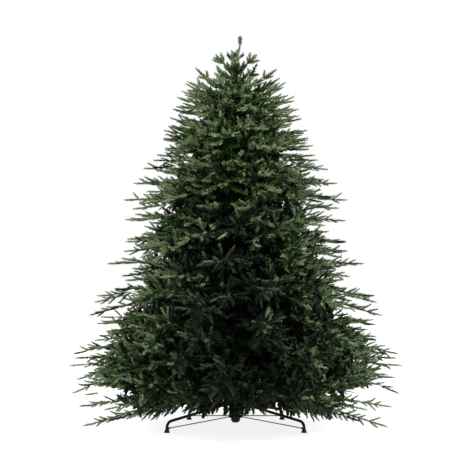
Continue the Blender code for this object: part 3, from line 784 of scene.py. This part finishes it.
def grow_top():
    """The top: a leaning leader over whorls of small fronds, close round the pole and painted dark
    there as shade.
    """
    growth = Growth(TOP_SEED)
    for height, reach, tip_height, azimuths in TOP_WHORLS:
        for azimuth in azimuths:
            root, tip = UP * height, polar(radians(azimuth), reach, tip_height)
            grow_frond(growth, root, *span(root, tip), UP, TOP_LEADER, None)
    for azimuths, near, foot_height, tips in TOP_TRIDENTS:
        for azimuth in azimuths:
            root = polar(radians(azimuth), near, foot_height)
            for reach, height, turn in tips:
                tip = polar(radians(azimuth + turn), reach, height)
                add_shoot(growth, root, *span(root, tip), UP, None, BARE_GIRTH)
    for root, tip in TOP_SHOOTS:
        root, across = Vector(root), Vector((0, -1, 0))
        add_shoot(growth, root, *span(root, Vector(tip)), across, None, BARE_GIRTH)
    for i in range(TOP_FILLERS):
        share = i / TOP_FILLERS
        lean = polar(i * GOLDEN_ANGLE, 1, blend(*TOP_FILLER_RISE, share)).normalized()
        reach = blend(*TOP_FILLER_LENGTHS, share)
        add_shoot(growth, UP * blend(*TOP_FILLED, share), lean, reach, UP, None)
    stem = [Vector(point) for point in TOP_STEM]
    for i, (a, b) in enumerate(zip(stem, stem[1:])):
        growth.boughs.append((a, b, blend(*STEM_RADII, i / len(stem))))
    return growth


# Small shapes and their joining


def rod(bm, matrix, near, far, depth, sides, closed=True):
    """A rod or cone about the matrix's Z, centred on its origin."""
    bmesh.ops.create_cone(bm, cap_ends=closed, segments=sides, radius1=near, radius2=far,
                          depth=depth, matrix=matrix)


def cones(bm, rings, sides):
    """Open cones along Z through (height, radius) rings, welded where they meet."""
    for (low, near), (high, far) in zip(rings, rings[1:]):
        middle = Matrix.Translation((0, 0, (low + high) / 2))
        rod(bm, middle, near, far, high - low, sides, closed=False)
    bmesh.ops.remove_doubles(bm, verts=bm.verts, dist=WELD)


def add_needle(bm, matrix, length, width, tag):
    """A needle folded along its middle, from the matrix's origin along its Z."""
    fold, widest = -width * NEEDLE_FOLD, length * NEEDLE_WIDEST
    outline = ((0, 0, 0), (width / 2, fold, widest), (0, 0, length), (-width / 2, fold, widest))
    root, right, tip, left = (bm.verts.new(matrix @ Vector(corner)) for corner in outline)
    for corners in ((root, right, tip), (root, tip, left)):
        bm.faces.new(corners).material_index = tag


def shape_arrays(bm):
    """(vertices, triangles, tags) of a small shape, which is then let go."""
    bmesh.ops.triangulate(bm, faces=bm.faces)
    bm.verts.index_update()
    verts = np.array([v.co for v in bm.verts], np.float32)
    faces = np.array([[v.index for v in f.verts] for f in bm.faces], np.int32)
    tags = np.array([f.material_index for f in bm.faces], np.int32)
    bm.free()
    return verts, faces, tags


def shoot_shape(kind, variant):
    """A shoot one unit long and true in width: a spindle and the needles round it."""
    _, needles, sides, size = SHOOT_KINDS[kind]
    rng = random.Random(SEED_STEP * kind + variant)
    length = sizes().shoot_length
    bm = bmesh.new()
    cones(bm, [(share * length, SPINDLE_RADIUS * width * size) for share, width in SPINDLE], sides)
    for i in range(needles):
        share = i / needles
        turn = i * GOLDEN_ANGLE + rng.uniform(-NEEDLE_TURN, NEEDLE_TURN)
        lean = blend(*NEEDLE_LEANS, share) * rng.uniform(*LEAN_JITTER)
        if share > END_NEEDLES:
            lean *= rng.uniform(*END_LEANS)
        reach = sizes().needle_length * size * blend(1, NEEDLE_TAPER, share)
        reach *= rng.uniform(1 - NEEDLE_JITTER, 1)
        place = Matrix.Translation((0, 0, (length - reach * NEEDLE_INSET) * share))
        outwards = Matrix.Rotation(turn, 4, "Z") @ Matrix.Rotation(-lean, 4, "X")
        roll = Matrix.Rotation(rng.uniform(-NEEDLE_ROLL, NEEDLE_ROLL), 4, "Z")
        tag = NEEDLE_FACE if i % DARK_NEEDLE_EVERY else DARK_NEEDLE_FACE
        add_needle(bm, place @ outwards @ roll, reach, sizes().needle_width * size, tag)
    bend = SHOOT_BEND * rng.uniform(*BEND_JITTER)
    for vert in bm.verts:
        vert.co.x += bend * (vert.co.z / length) ** 2
        vert.co.z /= length
    return shape_arrays(bm)


def stick_shape(rings, sides, twist):
    """A piece of bough or twig of unit length and radius, through these rings."""
    bm = bmesh.new()
    cones(bm, rings, sides)
    for vert in bm.verts:
        vert.co = Matrix.Rotation(vert.co.z * twist, 3, "Z") @ vert.co
    return shape_arrays(bm)


def placed(shape, roots, leans, ups, scales):
    """Copies of a small shape: (vertices, triangles) with its Z along each lean, X near each up."""
    verts, faces, _ = shape
    roots, leans, ups = (np.array(rows, np.float32) for rows in (roots, leans, ups))
    y = np.cross(leans, ups)
    y /= np.linalg.norm(y, axis=1, keepdims=True)
    x = np.cross(y, leans)
    axes = np.stack((x, y, leans), axis=2) * np.array(scales, np.float32)[:, None, :]
    moved = np.einsum("kij,nj->kni", axes, verts) + roots[:, None, :]
    starts = (np.arange(len(roots)) * len(verts))[:, None, None]
    return moved.reshape(-1, 3), (faces[None] + starts).reshape(-1, 3)


def linked(name, data):
    """A new object in the scene."""
    item = bpy.data.objects.new(name, data)
    bpy.context.scene.collection.objects.link(item)
    return item


def riding(name, mesh):
    """A piece that rides on the tree."""
    piece = linked(name, mesh)
    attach(piece, "root")
    return piece


def joined(name, parts, materials):
    """One piece from (vertices, triangles, material numbers) parts."""
    mesh = bpy.data.meshes.new(name)
    starts = np.cumsum([0] + [len(verts) for verts, _, _ in parts])
    shifted = [(verts, faces + start, rows) for (verts, faces, rows), start in zip(parts, starts)]
    verts, faces, numbers = (np.concatenate(arrays) for arrays in zip(*shifted))
    mesh.vertices.add(len(verts))
    mesh.vertices.foreach_set("co", verts.ravel())
    mesh.loops.add(faces.size)
    mesh.loops.foreach_set("vertex_index", faces.ravel())
    mesh.polygons.add(len(faces))
    mesh.polygons.foreach_set("loop_start", np.arange(0, faces.size, 3))
    for material in materials:
        mesh.materials.append(material)
    mesh.polygons.foreach_set("material_index", numbers)
    mesh.update(calc_edges=True)
    return riding(name, mesh)


def needle_piece(name, shoots, shapes):
    """The shoots of one tier as one mesh, each in its own tone."""
    rng = random.Random(len(shoots))
    groups = {}
    for shoot in shoots:
        groups.setdefault((shoot[0], rng.randrange(SHOOT_VARIANTS)), []).append(shoot)
    parts = []
    for key in sorted(groups):
        _, roots, leans, ups, lengths, tones, girths = zip(*groups[key])
        unit, tags = sizes().shoot_length, shapes[key][2]
        widths = [
            girth * min(WIDEST_SHOOT, (length / unit) ** WIDTH_POWER)
            for girth, length in zip(girths, lengths)
        ]
        verts, faces = placed(shapes[key], roots, leans, ups, list(zip(widths, widths, lengths)))
        tones = np.repeat(tones, len(tags))
        # Spindles and every fourth needle take the darker tone: painted shade inside the shoot
        numbers = np.where(np.tile(tags, len(roots)) == NEEDLE_FACE, tones, PAINTED_SHADE_TONES[tones])
        parts.append((verts, faces, numbers.astype(np.int32)))
    materials = [crown_material(f"needles_{tone}", tone) for tone in TONES]
    return joined(name, parts, materials)


def stick_piece(name, rows, shape, material):
    """Twigs or bough segments as one mesh, from (start, end, radius) rows."""
    starts, ends, radii = zip(*rows)
    runs = [end - start for start, end in zip(starts, ends)]
    leans = [run.normalized() for run in runs]
    ups = [ASLANT if abs(lean.z) < STEEP_STICK else (1, 0, 0) for lean in leans]
    scales = [(radius, radius, run.length) for radius, run in zip(radii, runs)]
    verts, faces = placed(shape, starts, leans, ups, scales)
    numbers = np.zeros(len(faces), np.int32)
    return joined(name, [(verts, faces, numbers)], [material])


# Pole and stand


def mesh_of(bm, name, *materials):
    mesh = bpy.data.meshes.new(name)
    bm.to_mesh(mesh)
    bm.free()
    for material in materials:
        mesh.materials.append(material)
    return mesh


def finished(bm, name, material, slot, *nodes):
    """A piece from a bmesh, in place of these nodes."""
    bmesh.ops.remove_doubles(bm, verts=bm.verts, dist=WELD)
    bmesh.ops.recalc_face_normals(bm, faces=bm.faces)
    mesh = mesh_of(bm, name, material)
    mesh.shade_smooth()
    mesh.set_sharp_from_angle(angle=SHARP_ANGLE)
    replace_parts(riding(name, mesh), *nodes)


def lathe(bm, profile):
    """A solid of revolution about the Z axis, from (radius, height) points."""
    ring = [bm.verts.new((radius, 0, height)) for radius, height in profile]
    edges = [bm.edges.new(pair) for pair in zip(ring, ring[1:])]
    bmesh.ops.spin(bm, geom=ring + edges, axis=UP, cent=(0, 0, 0), angle=tau, steps=LATHE_STEPS,
                   use_merge=True)


def rounded_collar(middle, half, inner, outer):
    """The outline of a collar with eased edges, going up."""
    low, high = middle - half, middle + half
    return [(inner, low), (outer - EDGE, low), (outer, low + EDGE), (outer, high - EDGE),
            (outer - EDGE, high), (inner, high)]


def aimed(place, lean):
    """The matrix that moves the origin to place and turns Z to lean."""
    return Matrix.Translation(place) @ Vector(lean).to_track_quat("Z", "Y").to_matrix().to_4x4()


def leg_ends(stand):
    """Where a leg over the X axis leaves the hub, and where its bend starts."""
    radius = stand.leg_reach - stand.leg_bend * (1 - sin(stand.leg_slope))
    low = stand.cap_height + TOUCH_GAP + stand.leg_upright
    height = low + stand.leg_bend * cos(stand.leg_slope)
    start = LEG_COLLAR[0] + TOUCH_GAP + stand.leg_radius * sin(stand.leg_slope)
    return (start, 0, height + (radius - start) * tan(stand.leg_slope)), (radius, 0, height)


def edges_in(geometry):
    return [item for item in geometry if isinstance(item, bmesh.types.BMEdge)]


def pulled(bm, edges, run):
    """Extrudes edges along run, and returns the edges that this makes."""
    made = bmesh.ops.extrude_edge_only(bm, edges=edges)["geom"]
    verts = [item for item in made if isinstance(item, bmesh.types.BMVert)]
    bmesh.ops.translate(bm, verts=verts, vec=run)
    return edges_in(made)


def leg_tube(bm, stand):
    """A leg over the X axis: a straight arm, a bend and a short upright into its foot cap."""
    root, bend = (Vector(end) for end in leg_ends(stand))
    aim = aimed(root, bend - root)
    bmesh.ops.create_circle(bm, segments=TUBE_SIDES, radius=stand.leg_radius, matrix=aim)
    centre = (stand.leg_reach - stand.leg_bend, 0, stand.cap_height + TOUCH_GAP + stand.leg_upright)
    made = bmesh.ops.spin(
        bm, geom=pulled(bm, bm.edges[:], bend - root), axis=(0, 1, 0), cent=centre,
        angle=pi / 2 - stand.leg_slope, steps=BEND_STEPS
    )
    pulled(bm, edges_in(made["geom_last"]), (0, 0, -stand.leg_upright))
    bmesh.ops.holes_fill(bm, edges=[edge for edge in bm.edges if edge.is_boundary], sides=0)


def bolt(bm, place, aim, radius, height):
    """A low domed bolt head on a washer."""
    for wide, low, high in BOLT_HEAD:
        spot = aimed(place, aim) @ Matrix.Translation((0, 0, height * (low + high) / 2))
        rod(bm, spot, radius * wide, radius * wide * BOLT_TAPER, height * (high - low), ROD_SIDES)


def brace_rod(bm, stand):
    """A brace over the X axis: a rod between two flat eyes, with a bolt through each."""
    slope = (BRACE_TOP - BRACE_FOOT) / stand.leg_reach
    clear = TOUCH_GAP + stand.brace_radius * sin(atan(slope))
    inner = Vector((BRACE_COLLAR[0] + clear, 0, BRACE_TOP))
    outer = Vector((stand.leg_reach - stand.leg_radius - clear, 0, BRACE_FOOT))
    run, radius = outer - inner, stand.brace_radius
    rod(bm, aimed((inner + outer) / 2, run), radius, radius, run.length, ROD_SIDES)
    for place, inwards in ((inner, EYE_INSET), (outer, -EYE_INSET)):
        spot = place + run.normalized() * inwards
        flat = Matrix.Translation(spot) @ Matrix.Rotation(pi / 2, 4, "X")
        rod(bm, flat, EYE_RADIUS, EYE_RADIUS, EYE_THICKNESS, EYE_SIDES)
        bolt(bm, spot + Vector((0, -EYE_THICKNESS / 2, 0)), (0, -1, 0), *EYE_BOLT)


def foot_cap(bm, stand):
    lathe(bm, CAP_PROFILE)
    bmesh.ops.translate(bm, verts=bm.verts, vec=(stand.leg_reach, 0, 0))


def turned_copies(build, stand):
    """Four copies of what build makes over the X axis, turned to the legs' azimuths."""
    single, bm = bmesh.new(), bmesh.new()
    build(single, stand)
    mesh = mesh_of(single, "copy")
    for degrees in LEG_AZIMUTHS:
        before = set(bm.verts)
        bm.from_mesh(mesh)
        fresh = [vert for vert in bm.verts if vert not in before]
        turn = Matrix.Rotation(radians(degrees), 3, "Z")
        bmesh.ops.rotate(bm, verts=fresh, cent=(0, 0, 0), matrix=turn)
    bpy.data.meshes.remove(mesh)
    return bm


def hub_body(stand):
    """The hub: a tube with a rounded foot, two collars and bolts between the legs."""
    bm, height = bmesh.new(), leg_ends(stand)[0][2]
    boss_radius, boss_height = HUB_BOSS
    profile = [(0, HUB_FOOT)]
    for i in range(BOSS_STEPS + 1):
        turn = pi / 2 * i / BOSS_STEPS
        radius = boss_radius + (HUB_RADIUS - boss_radius) * sin(turn)
        profile.append((radius, HUB_FOOT + boss_height * (1 - cos(turn))))
    profile += rounded_collar(BRACE_TOP, BRACE_COLLAR[1], HUB_RADIUS, BRACE_COLLAR[0])
    profile += rounded_collar(height, LEG_COLLAR[1], HUB_RADIUS, LEG_COLLAR[0])
    profile += [(HUB_RADIUS, HUB_TOP - EDGE), (HUB_RADIUS - EDGE, HUB_TOP)]
    profile += [(HUB_BORE + EDGE, HUB_TOP), (HUB_BORE, HUB_TOP - EDGE)]
    profile += [(HUB_BORE, BORE_FLOOR), (0, BORE_FLOOR)]
    lathe(bm, profile)
    for degrees in LEG_AZIMUTHS:
        for hand in (-1, 1):
            azimuth = radians(degrees + HUB_BOLT_TURN * hand)
            bolt(bm, polar(azimuth, LEG_COLLAR[0], height), polar(azimuth, 1, 0), *HUB_BOLT)
    return bm


def pole_tube():
    """The pole: three tubes with rolled mouths, and a bracket ring with hooks at every tier."""
    bm = bmesh.new()
    profile = [(0, POLE_SECTIONS[0][0])]
    for (foot, radius), (head, _) in zip(POLE_SECTIONS, POLE_SECTIONS[1:]):
        wide, mouth = radius + MOUTH_RISE, head - MOUTH_LENGTH
        profile += [(radius, foot), (radius, mouth - EDGE)]
        profile += [(wide - EDGE / 2, mouth), (wide, mouth + EDGE)]
        for bead in range(BEADS):
            middle = mouth + MOUTH_LENGTH * (bead + 1) / (BEADS + 1)
            profile += [(wide, middle - EDGE), (wide - EDGE / 2, middle), (wide, middle + EDGE)]
        profile += [(wide, head - EDGE), (wide - EDGE / 2, head)]
    foot, radius = POLE_SECTIONS[-1]
    profile += [(radius, foot), (radius, POLE_TOP - EDGE), (radius - EDGE, POLE_TOP), (0, POLE_TOP)]
    lathe(bm, profile)
    for tier, count in enumerate(TIER_MASSES):
        height = tier_root(tier)
        radius = [r for foot, r in POLE_SECTIONS if height >= foot][-1]
        ring = rounded_collar(height, BRACKET_HALF, radius - EDGE, radius + BRACKET_RISE)
        lathe(bm, ring + ring[:1])
        for sector in range(count):
            azimuth = first_azimuth(tier) + tau * sector / count
            for hand in (-1, 1):
                place = polar(azimuth, radius + HOOK_PLACE[0], height)
                place += polar(azimuth + pi / 2, hand * HOOK_PLACE[1], 0)
                shape = Matrix.Rotation(azimuth, 4, "Z") @ Matrix.Diagonal((*HOOK_SIZE, 1))
                bmesh.ops.create_cube(bm, size=1, matrix=Matrix.Translation(place) @ shape)
    return bm


# Materials


def filled(node, values):
    """A node with these values in its inputs."""
    for title, value in values.items():
        node.inputs[title].default_value = value
    return node


def added(tree, *kinds):
    return [tree.nodes.new(f"ShaderNode{kind}") for kind in kinds]


def wire(tree, *rows):
    """Links the nodes of a tree, from (node, output, node, input) rows."""
    for source, output, target, entry in rows:
        tree.links.new(source.outputs[output], target.inputs[entry])


def new_material(name, values):
    """A material whose shader has these values."""
    material = bpy.data.materials.new(name)
    material.use_nodes = True
    return material, filled(material.node_tree.nodes["Principled BSDF"], values)


def plain_material(name, colour, roughness, specular):
    """A finish of one colour all over."""
    values = {"Base Color": (*colour, 1), "Roughness": roughness, "Specular IOR Level": specular}
    return bpy.data.materials.get(name) or new_material(name, values)[0]


def effect(name):
    """A node group, made once, that feeds noise in Object coordinates to one other node."""
    group = bpy.data.node_groups.get(name)
    if group:
        return group
    kind, socket, detail, inputs, values, aim, output = EFFECTS[name]
    group = bpy.data.node_groups.new(name, "ShaderNodeTree")
    group.interface.new_socket(output, in_out="OUTPUT", socket_type=socket)
    entry, out = group.nodes.new("NodeGroupInput"), group.nodes.new("NodeGroupOutput")
    place, noise, node = added(group, "TexCoord", "TexNoise", kind)
    filled(noise, {"Detail": detail})
    filled(node, values)
    for title, value in inputs.items():
        plug = group.interface.new_socket(title, in_out="INPUT", socket_type="NodeSocketFloat")
        plug.default_value = value
        wire(group, (entry, title, noise if title == "Scale" else node, title))
    wire(group, (place, "Object", noise, "Vector"), (noise, "Fac", node, aim),
         (node, output, out, output))
    return group


def coated_material(name, colour, worn, roughness, mottle, relief):
    """A coated finish: mottled towards a worn colour, uneven in gloss, with a pebbled skin."""
    material, shader = new_material(name, {"Specular IOR Level": COAT_SPECULAR})
    tree = material.node_tree
    mask, gloss, skin, mix = added(tree, "Group", "Group", "Group", "Mix")
    mask.node_tree = gloss.node_tree = effect("speckle")
    skin.node_tree = effect("relief")
    mix.data_type = "RGBA"
    filled(mask, {"Scale": mottle, "To Min": 0, "To Max": MOST_WORN})
    filled(gloss, {"Scale": mottle * 3, "To Min": roughness[0], "To Max": roughness[1]})
    filled(skin, {"Scale": relief[0], "Strength": relief[1]})
    filled(mix, {"A": (*colour, 1), "B": (*worn, 1)})
    wire(tree, (mask, "Result", mix, "Factor"), (mix, "Result", shader, "Base Color"),
         (gloss, "Result", shader, "Roughness"), (skin, "Normal", shader, "Normal"))
    return material


def crown_material(title, name):
    """The plain finish of one of the crown's colours."""
    colour = getattr(bpy.context.scene.fir_colours, name)
    return plain_material(title, colour, *FINISHES.get(name, NEEDLE_FINISH))


def white_room(strength):
    """White surroundings, which light the tree less than they show."""
    world = bpy.data.worlds.new("white_room")
    world.use_nodes = True
    tree = world.node_tree
    shown = filled(tree.nodes["Background"], {"Color": WHITE})
    lighting, path, mix = added(tree, "Background", "LightPath", "MixShader")
    filled(lighting, {"Color": WHITE, "Strength": strength})
    wire(tree, (path, "Is Camera Ray", mix, "Fac"), (lighting, "Background", mix, 1),
         (shown, "Background", mix, 2), (mix, "Shader", tree.nodes["World Output"], "Surface"))
    return world


# Operators


class FIR_OT_stage(bpy.types.Operator):
    """Adds the floor, the soft studio light and the camera"""

    bl_idname = "fir.stage"
    bl_label = "Stage"

    def execute(self, context):
        setting = context.scene.fir_stage
        pale = plain_material("floor_pale", FLOOR_COLOUR, *FLOOR_FINISH)
        glow = {"Emission Color": WHITE, "Emission Strength": FLOOR_GLOW}
        filled(pale.node_tree.nodes["Principled BSDF"], glow)
        bm = bmesh.new()
        bmesh.ops.create_grid(bm, x_segments=2, y_segments=2, size=FLOOR_SIZE)
        linked("floor", mesh_of(bm, "floor", pale))
        context.scene.world = white_room(setting.sky)
        context.scene.view_settings.view_transform = "Standard"
        for name, place in LIGHTS.items():
            lamp = bpy.data.lights.new(name, "SUN")
            lamp.angle, lamp.energy = LIGHT_SOFTNESS, getattr(setting, name)
            light = linked(name, lamp)
            light.location = place
            light.rotation_euler = light.location.to_track_quat("Z", "Y").to_euler()
        eye = bpy.data.cameras.new("camera")
        eye.lens, eye.sensor_width = setting.lens, SENSOR_WIDTH
        camera = linked("camera", eye)
        camera.location = (CAMERA_ASIDE, -setting.distance, setting.eye_height)
        camera.rotation_euler = (pi / 2, 0, 0)
        context.scene.camera = camera
        return {"FINISHED"}


class FIR_OT_crown(bpy.types.Operator):
    """Grows the tiers of boughs with their twigs and needles"""

    bl_idname = "fir.crown"
    bl_label = "Crown"

    def execute(self, context):
        shapes = {
            (kind, variant): shoot_shape(kind, variant)
            for kind in range(len(SHOOT_KINDS)) for variant in range(SHOOT_VARIANTS)
        }
        segment, twig = stick_shape(*BOUGH_SHAPE), stick_shape(*TWIG_SHAPE)
        tape, twisted = crown_material("bough_tape", "tape"), crown_material("twig_wire", "twig")
        crown = [
            (tier + 1, grow_tier(tier), [f"mass_{tier + 1}_{i + 1}" for i in range(count)])
            for tier, count in enumerate(TIER_MASSES)
        ]
        for label, growth, masses in (*crown, ("top", grow_top(), ["mass_top"])):
            outer = [shoot for shoot in growth.shoots if shoot[0] < INNER_KIND]
            inner = [shoot for shoot in growth.shoots if shoot[0] == INNER_KIND]
            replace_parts(needle_piece(f"needles_{label}", outer, shapes), *masses)
            if inner:
                needle_piece(f"needles_inside_{label}", inner, shapes)
            stick_piece(f"twigs_{label}", growth.twigs, twig, twisted)
            boughs = stick_piece(f"boughs_{label}", growth.boughs, segment, tape)
            if label == 1:
                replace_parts(boughs, *(f"bough_{i + 1}" for i in range(len(masses))))
        stick_piece("stem_end", [STEM_END], segment, crown_material("stem_end", "stem"))
        return {"FINISHED"}


class FIR_OT_stand(bpy.types.Operator):
    """Makes the stand: hub, legs, braces and foot caps"""

    bl_idname = "fir.stand"
    bl_label = "Stand"

    def execute(self, context):
        stand, colours = context.scene.fir_stand, context.scene.fir_colours
        coat = coated_material("powder_coat", colours.steel, *STEEL_COAT)
        rubber = coated_material("cap_rubber", colours.rubber, *RUBBER_SKIN)
        finished(hub_body(stand), "hub", coat, "stand", "stand_hub")
        for build, name, material, slot, node in (
            (leg_tube, "legs", coat, "stand", "stand_leg"),
            (brace_rod, "braces", coat, "stand", "stand_brace"),
            (foot_cap, "foot_caps", rubber, "foot_caps", "stand_foot"),
        ):
            nodes = (f"{node}_{i + 1}" for i in range(len(LEG_AZIMUTHS)))
            finished(turned_copies(build, stand), name, material, slot, *nodes)
        return {"FINISHED"}


class FIR_OT_pole(bpy.types.Operator):
    """Makes the pole with its joints and bough brackets"""

    bl_idname = "fir.pole"
    bl_label = "Pole"

    def execute(self, context):
        enamel = coated_material("pole_enamel", context.scene.fir_colours.pole, *POLE_ENAMEL)
        finished(pole_tube(), "pole_with_brackets", enamel, "pole", "pole")
        return {"FINISHED"}


class FIR_PT_panel(bpy.types.Panel):
    """Lists the tree's operators and settings"""

    bl_label = "Artificial fir"
    bl_space_type = "VIEW_3D"
    bl_region_type = "UI"
    bl_category = "Fir"

    def draw(self, context):
        for step in STEPS:
            self.layout.operator(step.bl_idname)
        for group in GROUPS:
            box, settings = self.layout.box(), getattr(context.scene, group)
            for name in settings.__annotations__:
                box.prop(settings, name)


GROUPS = {
    "fir_sizes": FirSizes, "fir_colours": FirColours, "fir_stand": StandSizes,
    "fir_stage": StageSettings,
}
STEPS = (FIR_OT_stage, FIR_OT_stand, FIR_OT_pole, FIR_OT_crown)
CLASSES = (*GROUPS.values(), *STEPS, FIR_PT_panel)


def register():
    for item in CLASSES:
        bpy.utils.register_class(item)
    for name, group in GROUPS.items():
        setattr(bpy.types.Scene, name, PointerProperty(type=group))


def unregister():
    for name in GROUPS:
        delattr(bpy.types.Scene, name)
    for item in reversed(CLASSES):
        bpy.utils.unregister_class(item)


def main():
    register()
    bpy.ops.fir.stage()
    bpy.ops.fir.stand()
    bpy.ops.fir.pole()
    bpy.ops.fir.crown()


if __name__ == "__main__":
    main()
